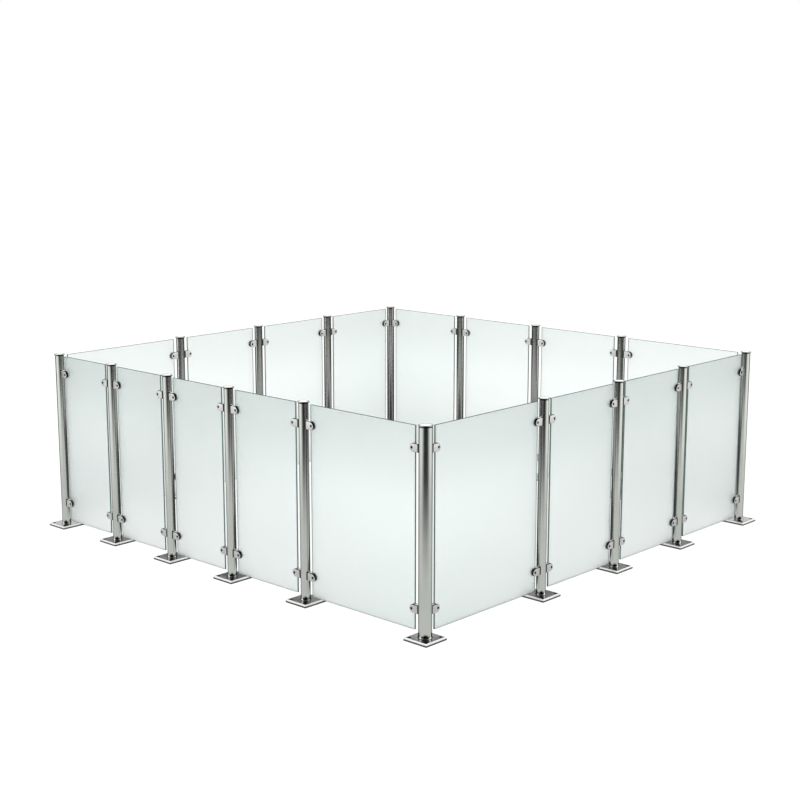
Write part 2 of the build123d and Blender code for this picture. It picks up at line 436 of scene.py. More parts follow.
def repeat(name, shape, places, levels, finish):
    """Stands a pattern on places at the named levels, and makes the result one plain mesh."""
    tree = repeat_tree(name + " layout", list(levels))
    points = point_cloud(name + " points", places)
    modifier = points.modifiers.new(name, "NODES")
    modifier.node_group = tree
    identifiers = {item.name: item.identifier for item in tree.interface.items_tree}
    modifier[identifiers["Pattern"]] = shape
    modifier[identifiers["Finish"]] = finish
    for level_name, level in levels.items():
        modifier[identifiers[level_name]] = level
    evaluated = points.evaluated_get(bpy.context.evaluated_depsgraph_get())
    mesh = bpy.data.meshes.new_from_object(evaluated)
    mesh.name = name
    smooth(mesh)
    points.modifiers.clear()
    bpy.data.objects.remove(points)
    bpy.data.objects.remove(shape)
    return new_object(name, mesh)


def settle(piece, slot, *replaced):
    """Gives a finished piece its body and hides the CAD nodes that it stands for. The finish slot is not
    used.
    """
    if not piece.data.polygons:
        raise RuntimeError(piece.name + " has no faces")
    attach(piece, BODY)
    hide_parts(*replaced)


def stand(name, make, sizes, spots, finish, slot, replaced):
    """Makes a piece by a function of its sizes, stands it on its spots, and settles the result."""
    shape = pattern(name + " pattern", make, *sizes)
    settle(repeat(name, shape, *spots, finish), slot, *replaced)


def dress(names, finish):
    """Gives CAD nodes that stay a finish."""
    for name in names:
        for material_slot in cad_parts[name].material_slots:
            material_slot.material = finish


# Finishes. A spread is (low, high, start, end): a value from start to end becomes one from low to high

GRAIN_SCALE = 900.0
GRAIN_DETAIL = 2.0
GRAIN_DEPTH = 0.00002
GRAIN_ROUGHNESS = (0.85, 1.15)
CLOUD_SCALE = 7.0
CLOUD_SHADES = (0.95, 1.04)
CLOUD_ROUGHNESS = (0.9, 1.1)
# Upward faces of the clamp covers get painted shade by this spread of the normal's rise
UPPER_RIM = (0.0, 1.0, 0.2, 0.4)
TUBE_GRAIN = (1.0, 1.0, 0.02)
CAP_GRAIN = (1.0, 0.03, 1.0)
CLAMP_GRAIN = (1.0, 1.0, 0.03)
EVEN_GRAIN = (1.0, 1.0, 1.0)
TUBE_RELIEF = 0.12
CAP_RELIEF = 0.1
CLAMP_RELIEF = 0.15
WELD_RELIEF = 0.3
SCREW_RELIEF = 0.1
JAW_METALLIC = 0.25
# The jaws are a lighter copy of the clamp steel: painted light
JAW_PAINTED_LIGHT = 1.35

# Painted shade and painted dark reflections on steel: how far they go to black, and where, by the normal and
# by the height
PAINTED_BLACK = (0.01, 0.01, 0.01, 1.0)
TUBE_EDGE_TINT = (0.0, 0.0, 0.0, 1.0)
FOOT_NEAR_NORMAL = (0.0, 1.0, 1.30, 1.38)
FOOT_NEAR_RISE = (0.010, 0.026)
FOOT_SIDE_NORMAL = (0.0, 1.0, 1.06, 1.22)
FOOT_SIDE_RISE = (0.014, 0.036)
CAP_SHADOW_DROP = (0.0052, 0.0047)
WELD_NORMAL = (1.0, 0.0, 0.5, 0.9)
CAP_TOP_TINT = (1.0, 1.0, 1.0, 1.0)
CAP_RIM_SHADE = (0.38, 0.38, 0.37, 1.0)
CAP_RIM_DEPTH = 0.3

# The base plate's painted highlight and painted shade by height on its bevel and side, as (share of the
# thickness, factor)
PLATE_SIDE = ((0.38, 0.05), (0.46, 0.22), (0.53, 0.85), (0.58, 0.95), (0.64, 1.9))
PLATE_TOP_EDGE = 2.1
PLATE_LEVEL = (0.0, 1.0, 0.85, 0.97)
PLATE_HOLE_RISE = (0.60, 0.61)
PLATE_HOLE_SHADE = 0.5
PLATE_GRAIN_SCALE = 700.0
PLATE_GRAIN = (1.0, 0.05, 1.0)
PLATE_GRAIN_RELIEF = (0.08, 0.00003)
PLATE_CLOUD_SCALE = 18.0
PLATE_SHADES = (0.96, 1.03)
PLATE_ROUGHNESS = (0.9, 1.1)

RUBBER_GRAIN_SCALE = 2500.0
RUBBER_GRAIN_RELIEF = (0.2, 0.00005)
RUBBER_CLOUD_SCALE = 60.0
RUBBER_SHADES = (0.8, 1.3)
RUBBER_ROUGHNESS = (0.62, 0.82)

# The panel's painted light and shade by height in metres, its painted light towards the sides of the fence,
# and its edges, the top one with painted shade
PANEL_IOR = 1.58
PANEL_SPECULAR = 0.5
PANEL_FOOT = 0.84
PANEL_BANDS = ((0.13, 0.87), (0.37, 0.95), (0.62, 1.03), (0.82, 0.97))
PANEL_TOP = 0.92
PANEL_CLOUD_SCALE = 6.0
PANEL_CLOUDS = (0.0, 0.03, 0.0, 1.0)
PANEL_CLOUD_SHADE = 0.5
PANEL_ASIDE = (0.0, 0.55, 0.3, 2.4)
PANEL_ASIDE_LOW = (1.0, 0.3, 0.55, 0.85)
PANEL_ASIDE_SHADE = 1.1
PANEL_EDGE = (1.0, 0.0, 0.9, 0.98)
PANEL_TOP_EDGE = (0.0, 1.0, 0.3, 0.6)
PANEL_TOP_EDGE_SHADE = 0.45
PANEL_FROST_SCALE = 1600.0
PANEL_FROST_DETAIL = 4.0
PANEL_FROST_RELIEF = (0.25, 0.00004)
PANEL_ROUGHNESS = (0.92, 1.08)
PANEL_SHADOW_TINT = (0.93, 0.96, 0.95, 1.0)
# Shades of the sheets' painted glow in steel's reflections, by height
PANEL_IN_STEEL = (0.5, 0.09, 0.3, 0.6)


class Finish:
    """A material with one Principled shader and short ways to feed it."""

    def __init__(self, name):
        self.material = bpy.data.materials.new(name)
        self.material.use_nodes = True
        self.tree = self.material.node_tree
        self.shader = self.tree.nodes["Principled BSDF"]
        self.place = self.add("ShaderNodeTexCoord")["Object"]

    def add(self, kind, traits=None, *values, **inputs):
        """A new node's outputs, as add_node gives them."""
        return add_node(self.tree, kind, traits, *values, **inputs)

    def drive(self, **values):
        """Feeds the shader's own sockets, with spaces in their names as underscores."""
        for name, value in values.items():
            feed(self.tree, value, self.shader.inputs[name.replace("_", " ")])

    def noise(self, scale, stretch=EVEN_GRAIN, detail=3.0):
        """Noise in the object's own coordinates."""
        mapped = self.add("ShaderNodeMapping", Vector=self.place, Scale=stretch)["Vector"]
        return self.add("ShaderNodeTexNoise", Vector=mapped, Scale=scale, Detail=detail)["Fac"]

    def spread(self, value, low, high, start=0.3, end=0.7, kind="LINEAR"):
        """Maps a value from start..end to low..high."""
        ends = {"From_Min": start, "From_Max": end, "To_Min": low, "To_Max": high}
        return self.add("ShaderNodeMapRange", {"interpolation_type": kind}, Value=value, **ends)["Result"]

    def ease(self, value, low, high, start, end):
        """Maps a value in the same way, with soft ends."""
        return self.spread(value, low, high, start, end, "SMOOTHSTEP")

    def mix(self, share_of_b, a, b):
        """Mixes two colours, each a colour or a socket."""
        return self.add("ShaderNodeMix", {"data_type": "RGBA"}, Factor=share_of_b, A=a, B=b)["Result"]

    def blend(self, share_of_b, a, b):
        """Mixes two shaders."""
        return self.add("ShaderNodeMixShader", None, share_of_b, a, b)["Shader"]

    def math(self, operation, *values):
        """One Math node."""
        return self.add("ShaderNodeMath", {"operation": operation}, *values)["Value"]

    def times(self, *values):
        """Product of two values."""
        return self.math("MULTIPLY", *values)

    def plus(self, *values):
        """Sum of two values."""
        return self.math("ADD", *values)

    def minus(self, *values):
        """Difference of two values."""
        return self.math("SUBTRACT", *values)

    def toward(self, share_of_b, a, b):
        """A value that goes from a to b with a share."""
        return self.plus(a, self.times(self.minus(b, a), share_of_b))

    def parts(self, vector):
        """The X, Y and Z of a vector."""
        return self.add("ShaderNodeSeparateXYZ", Vector=vector)

    def geometry(self, name):
        """A value that the surface itself gives."""
        return self.add("ShaderNodeNewGeometry")[name]

    def mark(self, name):
        """A value that the mesh carries on its faces."""
        return self.add("ShaderNodeAttribute", {"attribute_name": name})["Fac"]

    def ramp(self, value, first, last, stops, interpolation="LINEAR"):
        """A colour ramp with its two ends and (place, colour) stops between them."""
        node = self.tree.nodes.new("ShaderNodeValToRGB")
        node.color_ramp.interpolation = interpolation
        elements = node.color_ramp.elements
        elements[0].color = first
        elements[1].color = last
        for place, tint in stops:
            elements.new(place).color = tint
        feed(self.tree, value, node.inputs["Fac"])
        return node.outputs["Color"]

    def bump(self, height, strength, distance):
        """Relief from a height."""
        relief = self.add("ShaderNodeBump", Height=height, Strength=strength, Distance=distance)
        self.drive(Normal=relief["Normal"])

    def surface(self):
        """The socket that takes the finished shader."""
        return self.tree.nodes["Material Output"].inputs["Surface"]

    def show(self, shader):
        """Makes a shader the finished one."""
        feed(self.tree, shader, self.surface())


def shade(tint, factor=1.0):
    """A colour made lighter or darker, with its alpha."""
    return (*[min(1.0, part * factor) for part in tint], 1.0)


def metal(name, tint, roughness, grain, relief, wall_shade=None, far_only=False, upper_rim=False):
    """Steel with a fine grain along the stretch of its noise. Marked side walls, and with upper_rim also
    upward faces, may get painted shade; with far_only only behind the middle of the fence.
    """
    finish = Finish(name)
    lines = finish.noise(GRAIN_SCALE, grain, GRAIN_DETAIL)
    clouds = finish.noise(CLOUD_SCALE)
    darker, lighter = CLOUD_SHADES
    face = finish.mix(finish.spread(clouds, 0.0, 1.0), shade(tint, darker), shade(tint, lighter))
    if wall_shade:
        walls = finish.mark("wall")
        if far_only:
            walls = finish.times(walls, finish.spread(depth(finish), 0.0, 1.0))
        if upper_rim:
            slope = finish.parts(finish.geometry("Normal"))
            walls = finish.math("MAXIMUM", walls, finish.spread(slope["Z"], *UPPER_RIM))
        # Painted shade on the marked walls
        face = finish.mix(walls, face, shade(wall_shade))
    varied = finish.times(finish.spread(lines, *GRAIN_ROUGHNESS), finish.spread(clouds, *CLOUD_ROUGHNESS))
    finish.drive(Metallic=1.0, Base_Color=face, Roughness=finish.times(varied, roughness))
    finish.bump(lines, relief, GRAIN_DEPTH)
    return finish


def depth(finish):
    """Distance behind the middle of the fence, times the square root of two."""
    place = finish.parts(finish.place)
    return finish.plus(place["X"], place["Y"])


def along_normal(finish, operation):
    """Size of the sum or difference of the surface normal's X and Y."""
    normal = finish.parts(finish.geometry("Normal"))
    return finish.math("ABSOLUTE", finish.math(operation, normal["X"], normal["Y"]))


def base_tint(finish):
    """The socket that feeds the base colour so far."""
    return finish.shader.inputs["Base Color"].links[0].from_socket


def darken(finish, amount):
    """Takes the base colour towards black, for painted shade and painted dark reflections."""
    finish.drive(Base_Color=finish.mix(amount, base_tint(finish), PAINTED_BLACK))


def shade_tube(finish, sizes):
    """Paints shade on the tube just under its cap, and at its foot a painted dark reflection of the plate's
    corners and the weld.
    """
    height = finish.parts(finish.place)["Z"]
    # Painted dark reflections of the plate's corners and the weld, by the turn of the normal and the height
    feet = []
    for operation, normal, rise in (
        ("ADD", FOOT_NEAR_NORMAL, FOOT_NEAR_RISE),
        ("SUBTRACT", FOOT_SIDE_NORMAL, FOOT_SIDE_RISE),
    ):
        turned_there = finish.ease(along_normal(finish, operation), *normal)
        low, high = (sizes.plate_thickness + step for step in rise)
        feet.append(finish.times(turned_there, finish.ease(height, 1.0, 0.0, low, high)))
    # Painted shadow of the lid on the top few millimetres of the tube
    low, high = (sizes.tube_top - drop for drop in CAP_SHADOW_DROP)
    cap_shadow = finish.spread(height, 0.0, 1.0, low, high)
    darken(finish, finish.math("MAXIMUM", cap_shadow, finish.math("MAXIMUM", *feet)))


def shade_cap(finish, posts, caps):
    """Dims the rim of the lid's domed top with painted shade, in its colour and in what it mirrors."""
    top = posts.tube_top + caps.thickness
    height = finish.parts(finish.place)["Z"]
    rim = finish.spread(height, 1.0, 0.0, top - caps.dome, top - caps.dome * CAP_RIM_DEPTH)
    finish.drive(
        Base_Color=finish.mix(rim, base_tint(finish), CAP_RIM_SHADE),
        Specular_Tint=finish.mix(rim, CAP_TOP_TINT, CAP_RIM_SHADE),
    )


def shade_weld(finish):
    """Paints shade on the weld where it turns to the sides."""
    darken(finish, finish.ease(along_normal(finish, "ADD"), *WELD_NORMAL))


def plate_finish(name, finishes, thickness):
    """Satin plate. Its bevel and side are matt, with a painted highlight on the upper bevel, painted shade
    getting darker down the sawn side, and painted shade in the mouths of the anchor holes.
    """
    finish = Finish(name)
    height = finish.parts(finish.place)["Z"]
    lines = finish.noise(PLATE_GRAIN_SCALE, PLATE_GRAIN, GRAIN_DETAIL)
    clouds = finish.spread(finish.noise(PLATE_CLOUD_SCALE), 0.0, 1.0)
    darker, lighter = PLATE_SHADES
    satin = finish.mix(clouds, shade(finishes.plate, darker), shade(finishes.plate, lighter))
    # Painted highlight on the bevel, going over into painted shade at the foot of the side
    side = finish.ramp(
        finish.spread(height, 0.0, 1.0, 0.0, thickness),
        shade(finishes.wall),
        shade(finishes.bevel, PLATE_TOP_EDGE),
        [(place, shade(finishes.bevel, factor)) for place, factor in PLATE_SIDE],
    )
    level = finish.spread(finish.parts(finish.geometry("Normal"))["Z"], *PLATE_LEVEL)
    low, high = (thickness * rise for rise in PLATE_HOLE_RISE)
    hole = finish.times(finish.mark("wall"), finish.spread(height, 0.0, 1.0, low, high))
    # Painted shade in the mouths of the anchor holes
    rim = finish.mix(hole, side, shade(finishes.wall, PLATE_HOLE_SHADE))
    roughness = finish.times(finish.spread(lines, *PLATE_ROUGHNESS), finishes.plate_roughness)
    finish.drive(Base_Color=finish.mix(level, rim, satin), Metallic=level, Roughness=roughness)
    finish.bump(lines, *PLATE_GRAIN_RELIEF)
    return finish.material


def rubber_finish(name, tint):
    """Matt black rubber with a fine grain."""
    finish = Finish(name)
    grain = finish.noise(RUBBER_GRAIN_SCALE)
    clouds = finish.spread(finish.noise(RUBBER_CLOUD_SCALE), 0.0, 1.0)
    darker, lighter = RUBBER_SHADES
    finish.drive(
        Base_Color=finish.mix(clouds, shade(tint, darker), shade(tint, lighter)),
        Roughness=finish.spread(grain, *RUBBER_ROUGHNESS),
    )
    finish.bump(grain, *RUBBER_GRAIN_RELIEF)
    return finish.material


def panel_finish(name, finishes, axis):
    """Frosted sheet with darker polished edges, the upper edge darker still by painted shade. The axis is the
    one across the sheet.
    """
    finish = Finish(name)
    place = finish.parts(finish.place)
    normal = finish.parts(finish.geometry("Normal"))
    edge = finish.spread(finish.math("ABSOLUTE", normal[axis]), *PANEL_EDGE)
    clear = finish.spread(edge, 1.0, 0.0, 0.0, 1.0)
    face = panel_face(finish, finishes.panel, place)
    top = finish.spread(normal["Z"], *PANEL_TOP_EDGE)
    # Painted shade on the upward-facing top edge
    rim = finish.mix(top, shade(finishes.panel_edge), shade(finishes.panel_edge, PANEL_TOP_EDGE_SHADE))
    frost = finish.noise(PANEL_FROST_SCALE, detail=PANEL_FROST_DETAIL)
    finish.drive(
        IOR=PANEL_IOR,
        Transmission_Weight=clear,
        Specular_IOR_Level=finish.times(clear, PANEL_SPECULAR),
        Base_Color=finish.mix(edge, face, rim),
        Roughness=finish.times(finish.spread(frost, *PANEL_ROUGHNESS), finishes.panel_roughness),
    )
    finish.bump(frost, *PANEL_FROST_RELIEF)
    let_lamps_through(finish)
    darken_in_steel(finish, place["Z"])
    return finish.material


def panel_face(finish, tint, place):
    """The frosted face's colour: painted light and shade in bands by height, faint clouds, and painted light
    towards the fence's sides.
    """
    stops = [(height, shade(tint, factor)) for height, factor in PANEL_BANDS]
    bands = finish.ramp(place["Z"], shade(tint, PANEL_FOOT), shade(tint, PANEL_TOP), stops, "CARDINAL")
    clouds = finish.spread(finish.noise(PANEL_CLOUD_SCALE, detail=GRAIN_DETAIL), 0.0, 1.0)
    face = finish.mix(finish.spread(clouds, *PANEL_CLOUDS), bands, shade(tint, PANEL_CLOUD_SHADE))
    aside = finish.math("ABSOLUTE", finish.minus(place["X"], place["Y"]))
    gain = finish.times(finish.spread(aside, *PANEL_ASIDE), finish.spread(place["Z"], *PANEL_ASIDE_LOW))
    return finish.mix(gain, face, shade(tint, PANEL_ASIDE_SHADE))


def let_lamps_through(finish):
    """Light passes the sheet instead of stopping at it, so its shadow stays faint."""
    shadow = finish.add("ShaderNodeLightPath")["Is Shadow Ray"]
    clear = finish.add("ShaderNodeBsdfTransparent", Color=PANEL_SHADOW_TINT)["BSDF"]
    finish.show(finish.blend(shadow, finish.shader.outputs["BSDF"], clear))


def darken_in_steel(finish, height):
    """In steel's reflections the sheet is a painted grey glow: dark for the shade of the dark room, and paler
    near the floor.
    """
    path = finish.add("ShaderNodeLightPath")
    outside = finish.minus(1.0, finish.geometry("Backfacing"))
    tone = grey(finish, finish.ease(height, *PANEL_IN_STEEL))
    lit = finish.surface().links[0].from_socket
    mirrored = finish.times(reflected(finish, path), outside)
    # The painted glow takes the sheet's place in mirrored rays
    finish.show(finish.blend(mirrored, lit, finish.add("ShaderNodeEmission", Color=tone)["Emission"]))


# Shapes of the patterns

def make_plate(bm, sizes):
    """Square base plate with a bevelled top and four anchor holes."""
    top = sizes.plate_thickness
    bevel = sizes.plate_bevel
    edge = sizes.edge_radius
    side = sizes.plate_side
    steps = [
        (side - 2 * edge, 0.0),
        (side, edge),
        (side, top - bevel - edge / 2),
        (side - edge, top - bevel + edge / 2),
        (side - 2 * bevel + edge, top - edge / 2),
        (side - 2 * bevel - edge, top),
    ]
    rings = [(square(width), height) for width, height in steps]
    half = sizes.anchor_spacing / 2
    holes = []
    for x in (-half, half):
        for y in (-half, half):
            mouth = shifted(circle(sizes.anchor_mouth, HOLE_FACETS), x, y)
            bore = shifted(circle(sizes.anchor_radius, HOLE_FACETS), x, y)
            holes.append([(bore, 0.0), (bore, top - sizes.anchor_flare), (mouth, top)])
    slab(bm, rings, holes)


def shifted(points, x, y):
    """An outline moved sideways."""
    return [(point_x + x, point_y + y) for point_x, point_y in points]


def make_tube(bm, sizes, outer):
    """The post's tube, with its lower end a little way into the plate."""
    inner = outer - sizes.tube_wall
    low = sizes.plate_thickness - sizes.tube_sink
    edge = sizes.edge_radius
    high = sizes.tube_top
    profile = [(outer, low), (outer, high - edge), (outer - edge, high)]
    profile += [(inner + edge, high), (inner, high - edge), (inner, low)]
    turned(bm, profile, TUBE_FACETS)


def make_weld(bm, sizes, outer):
    """Bead round the tube's foot, with a hollow face."""
    floor = sizes.plate_thickness
    leg = sizes.weld_leg
    reach = leg / 2 - sizes.weld_dip
    inside = outer - sizes.tube_sink
    out, up = WELD_SHOULDER
    face = [
        (outer + leg, floor),
        (outer + leg * out, floor + reach * up),
        (outer + reach, floor + reach),
        (outer + reach * up, floor + leg * out),
        (outer, floor + leg),
    ]
    turned(bm, [(inside, floor - sizes.tube_sink), *face, (inside, floor + leg)], TUBE_FACETS)


def make_cap(bm, posts, sizes, outer, overhang):
    """Lid with a rounded rim and a hollow spigot, with the tube's end at Z nought."""
    lid = outer + overhang
    spigot = outer - posts.tube_wall - sizes.spigot_gap
    bore = spigot - sizes.spigot_wall
    rim = [
        (lid - inwards, sizes.thickness - sizes.dome - downwards)
        for inwards, downwards in quarter(sizes.rim_radius)
    ]
    profile = [(bore, 0.0), (bore, -sizes.spigot_length), (spigot, -sizes.spigot_length)]
    profile += [(spigot, 0.0), (lid - posts.edge_radius, 0.0), (lid, posts.edge_radius)]
    dome = [
        (rim[-1][0] * share_left, sizes.thickness - sizes.dome * share_left**2)
        for share_left in DOME_LOOPS
    ]
    solid(bm, turns_of(profile + rim + dome, TUBE_FACETS))


def clamp_outline(sizes, inset=0.0, start=None):
    """The clamp's outline from its flat end, or from a start further along, to its round end."""
    radius = sizes.height / 2 - inset
    centre = sizes.start + sizes.length - sizes.height / 2
    flat = sizes.start + inset if start is None else start
    turns = [-math.pi / 2 + math.pi * step / ARC_FACETS for step in range(ARC_FACETS + 1)]
    arc = [(centre + radius * math.cos(turn), radius * math.sin(turn)) for turn in turns]
    return [(flat, -radius), *arc, (flat, radius)]


def screw_x(clamps, screws):
    """The clamp screw's place along the panel."""
    return clamps.start + clamps.length - screws.inset


def make_cover(bm, clamps, screws):
    """Outer half of a clamp, with a rounded rim and a counterbored hole."""
    low = clamps.liner_face
    high = clamps.thickness / 2
    rings = [(clamp_outline(clamps), low)]
    for inwards, downwards in quarter(clamps.rim):
        rings.append((clamp_outline(clamps, inwards), high - downwards))
    x = screw_x(clamps, screws)
    seat = high - screws.head_recess - screws.head_height
    bore = circle(screws.radius + screws.shank_clearance, HOLE_FACETS, x)
    mouth = circle(screws.head_radius + screws.head_clearance, HOLE_FACETS, x)
    slab(bm, rings, [[(bore, low), (bore, seat), (mouth, seat), (mouth, high)]])


def make_jaw(bm, clamps, screws):
    """Inner half of a clamp: its rear leg, with the block beside the panel's edge on it."""
    back = -clamps.thickness / 2
    leg_top = -clamps.liner_face
    rings = [
        (clamp_outline(clamps, inwards), back + downwards)
        for inwards, downwards in reversed(quarter(clamps.rim))
    ]
    loops = wall(bm, rings)
    half = clamps.height / 2
    leg = clamp_outline(clamps)
    outline = [leg[0], (clamps.block_end, -half), *leg[1:-1], (clamps.block_end, half), leg[-1]]
    upper = new_loop(bm, outline, leg_top)
    close_leg_side(bm, loops[-1], upper)
    x = screw_x(clamps, screws)
    bore = circle(screws.radius + screws.thread_clearance, HOLE_FACETS, x)
    mouth = circle(screws.jaw_mouth, HOLE_FACETS, x)
    hole = wall(bm, [(mouth, back), (bore, back + screws.jaw_flare), (bore, leg_top)])
    fill(bm, loops[0], hole[0])
    fill(bm, upper[1:-1], hole[-1])
    corners = [upper[0], upper[1], upper[-2], upper[-1]]
    block = new_loop(bm, [(corner.co.x, corner.co.y) for corner in corners], clamps.liner_face)
    bridge(bm, corners, block)
    bm.faces.new(block)


def close_leg_side(bm, lower, upper):
    """Walls between the leg's outline and the same outline with the block's two corners added."""
    count = len(lower)
    bm.faces.new((lower[0], lower[1], upper[2], upper[1], upper[0]))
    for index in range(1, count - 2):
        bm.faces.new((lower[index], lower[index + 1], upper[index + 2], upper[index + 1]))
    bm.faces.new((lower[count - 2], lower[count - 1], upper[-1], upper[-2], upper[-3]))
    bm.faces.new((lower[count - 1], lower[0], upper[0], upper[-1]))


def arc_points(radius, half_width):
    """Points (along, across) of an arc about the post's axis, up to a half width on each side."""
    limit = math.asin(half_width / radius)
    turns = [-limit + 2 * limit * step / HOLLOW_FACETS for step in range(HOLLOW_FACETS + 1)]
    return [(radius * math.cos(turn), radius * math.sin(turn)) for turn in turns]


def prism(bm, outline, half_height):
    """An outline of (along, across) given a height on both sides of the clamp's middle."""
    loops = [
        [bm.verts.new((along, side * half_height, across)) for along, across in outline] for side in (-1, 1)
    ]
    bridge(bm, *loops)
    for loop in loops:
        bm.faces.new(loop)


def make_pad(bm, clamps, outer):
    """Rubber block between the clamp's flat end and a tube."""
    half = clamps.thickness / 2 - clamps.pad_inset
    hollow = [(along - outer, across) for along, across in arc_points(outer + clamps.pad_gap, half)]
    outline = [*hollow, (clamps.start, half), (clamps.start, -half)]
    prism(bm, outline, clamps.height / 2 - clamps.pad_inset)


def make_liners(bm, clamps, screws):
    """Rubber sheets on both faces of the panel."""
    start = clamps.block_end + clamps.liner_gap
    outline = clamp_outline(clamps, clamps.liner_inset, start)
    bore = circle(screws.radius + screws.liner_clearance, HOLE_FACETS, screw_x(clamps, screws))
    for low, high in ((clamps.panel_face, clamps.liner_face), (-clamps.liner_face, -clamps.panel_face)):
        slab(bm, [(outline, low), (outline, high)], [[(bore, low), (bore, high)]])


def make_screw(bm, clamps, screws):
    """Low-headed screw with a hexagon socket."""
    x = screw_x(clamps, screws)
    top = clamps.thickness / 2 - screws.head_recess
    seat = top - screws.head_height
    tip = -clamps.thickness / 2 + screws.tip_recess
    edge = screws.head_edge
    steps = [
        (screws.radius - edge, tip),
        (screws.radius, tip + edge),
        (screws.radius, seat),
        (screws.head_radius, seat),
        (screws.head_radius, top - edge),
        (screws.head_radius - edge, top),
    ]
    socket = hexagon(screws.socket_flats, SCREW_FACETS, x)
    rings = turns_of(steps, SCREW_FACETS, x)
    solid(bm, [*rings, (socket, top), (socket, top - screws.socket_depth)])


# Operators

def settings(context, *names):
    """The named groups of settings."""
    return [getattr(context.scene, "enclosure_" + name) for name in names]


def tube_kinds(posts):
    """Kind, nodes and radius of the thin tubes and of the thick one."""
    return (("thin", post_nodes(), posts.thin_radius), ("thick", [THICK_POST], posts.thick_radius))


def post_spots(names, level_name, level):
    """Places of those posts and the one level that a piece stands at."""
    return post_places(names), {level_name: level}


def clamp_spots(clamps):
    """Places of all the clamps and the levels of their two rows."""
    levels = {"Lower level": clamps.lower_level, "Upper level": clamps.upper_level}
    return clamp_frames(clamps.panel_gap), levels


class ENCLOSURE_OT_posts(bpy.types.Operator):
    """Make the tubes, base plates and welds"""

    bl_idname = "enclosure.posts"
    bl_label = "Posts"

    def execute(self, context):
        sizes, finishes = settings(context, "posts", "finishes")
        steel = metal("Polished tube", finishes.tube, finishes.tube_roughness, TUBE_GRAIN, TUBE_RELIEF)
        steel.drive(Specular_Tint=TUBE_EDGE_TINT)
        shade_tube(steel, sizes)
        bead = metal("Ground weld", finishes.weld, finishes.plate_roughness, EVEN_GRAIN, WELD_RELIEF)
        shade_weld(bead)
        satin = plate_finish("Satin plate", finishes, sizes.plate_thickness)
        for kind, names, radius in tube_kinds(sizes):
            spots = post_spots(names, "Foot level", 0.0)
            for part, make, finish in (("_tubes", make_tube, steel), ("_welds", make_weld, bead)):
                stand(kind + part, make, (sizes, radius), spots, finish.material, "post_steel", names)
        names = [*post_nodes(), THICK_POST]
        spots = post_spots(names, "Foot level", 0.0)
        stand("base_plates", make_plate, (sizes,), spots, satin, "post_steel", names)
        return {"FINISHED"}


class ENCLOSURE_OT_caps(bpy.types.Operator):
    """Make the caps on the tubes"""

    bl_idname = "enclosure.caps"
    bl_label = "Caps"

    def execute(self, context):
        sizes, caps, finishes = settings(context, "posts", "caps", "finishes")
        # The lids' side walls get the wall colour: a painted shade line under the lid
        steel = metal(
            "Polished cap", finishes.tube, finishes.tube_roughness, CAP_GRAIN, CAP_RELIEF, finishes.wall
        )
        shade_cap(steel, sizes, caps)
        overhangs = {"thin": caps.thin_overhang, "thick": caps.thick_overhang}
        for kind, names, radius in tube_kinds(sizes):
            made_of = (sizes, caps, radius, overhangs[kind])
            spots = post_spots(names, "Tube top", sizes.tube_top)
            stand(kind + "_tube_caps", make_cap, made_of, spots, steel.material, "post_steel", ["post_caps"])
        return {"FINISHED"}


class ENCLOSURE_OT_panels(bpy.types.Operator):
    """Give the panels their frosted finish"""

    bl_idname = "enclosure.panels"
    bl_label = "Panels"

    def execute(self, context):
        (finishes,) = settings(context, "finishes")
        for axis, sides in (("Y", ("front_right", "back_left")), ("X", ("front_left", "back_right"))):
            finish = panel_finish("Frosted sheet across " + axis, finishes, axis)
            for side in sides:
                dress(node_names("panel_" + side), finish)
        return {"FINISHED"}


class ENCLOSURE_OT_clamps(bpy.types.Operator):
    """Make the jaws and covers of the clamps"""

    bl_idname = "enclosure.clamps"
    bl_label = "Clamps"

    def execute(self, context):
        clamps, screws, finishes = settings(context, "clamps", "screws", "finishes")
        # The wall colour paints shade on the clamps' walls: on the covers also on their upward faces, on the
        # jaws only behind the middle of the fence
        satin = (finishes.clamp_roughness, CLAMP_GRAIN, CLAMP_RELIEF, finishes.wall)
        outer = metal("Satin clamp", finishes.clamp, *satin, upper_rim=True)
        # Painted light: the jaws take a lighter copy of the clamp steel
        inner = metal("Satin jaw", shade(finishes.clamp, JAW_PAINTED_LIGHT)[:3], *satin, far_only=True)
        inner.drive(Metallic=JAW_METALLIC)
        made_of, spots = (clamps, screws), clamp_spots(clamps)
        for name, nodes, make, finish in (
            ("clamp_inner_jaws", "clamp_jaws", make_jaw, inner.material),
            ("clamp_outer_covers", "clamp_covers", make_cover, outer.material),
        ):
            stand(name, make, made_of, spots, finish, "clamp_steel", node_names(nodes))
        return {"FINISHED"}


class ENCLOSURE_OT_rubbers(bpy.types.Operator):
    """Make the liners and the rubber blocks"""

    bl_idname = "enclosure.rubbers"
    bl_label = "Rubbers"

    def execute(self, context):
        posts, clamps, screws, finishes = settings(context, "posts", "clamps", "screws", "finishes")
        rubber = rubber_finish("Black rubber", finishes.rubber)
        places, levels = clamp_spots(clamps)
        liners = node_names("clamp_liners")
        stand("panel_liners", make_liners, (clamps, screws), (places, levels), rubber, "rubber", liners)
        thick = [place for place in places if at_thick_post(place[0], posts.thick_radius)]
        thin = [place for place in places if place not in thick]
        pads = node_names("clamp_pads")
        for kind, chosen, radius in (("thin", thin, posts.thin_radius), ("thick", thick, posts.thick_radius)):
            spots = (chosen, levels)
            stand(kind + "_tube_blocks", make_pad, (clamps, radius), spots, rubber, "rubber", pads)
        return {"FINISHED"}


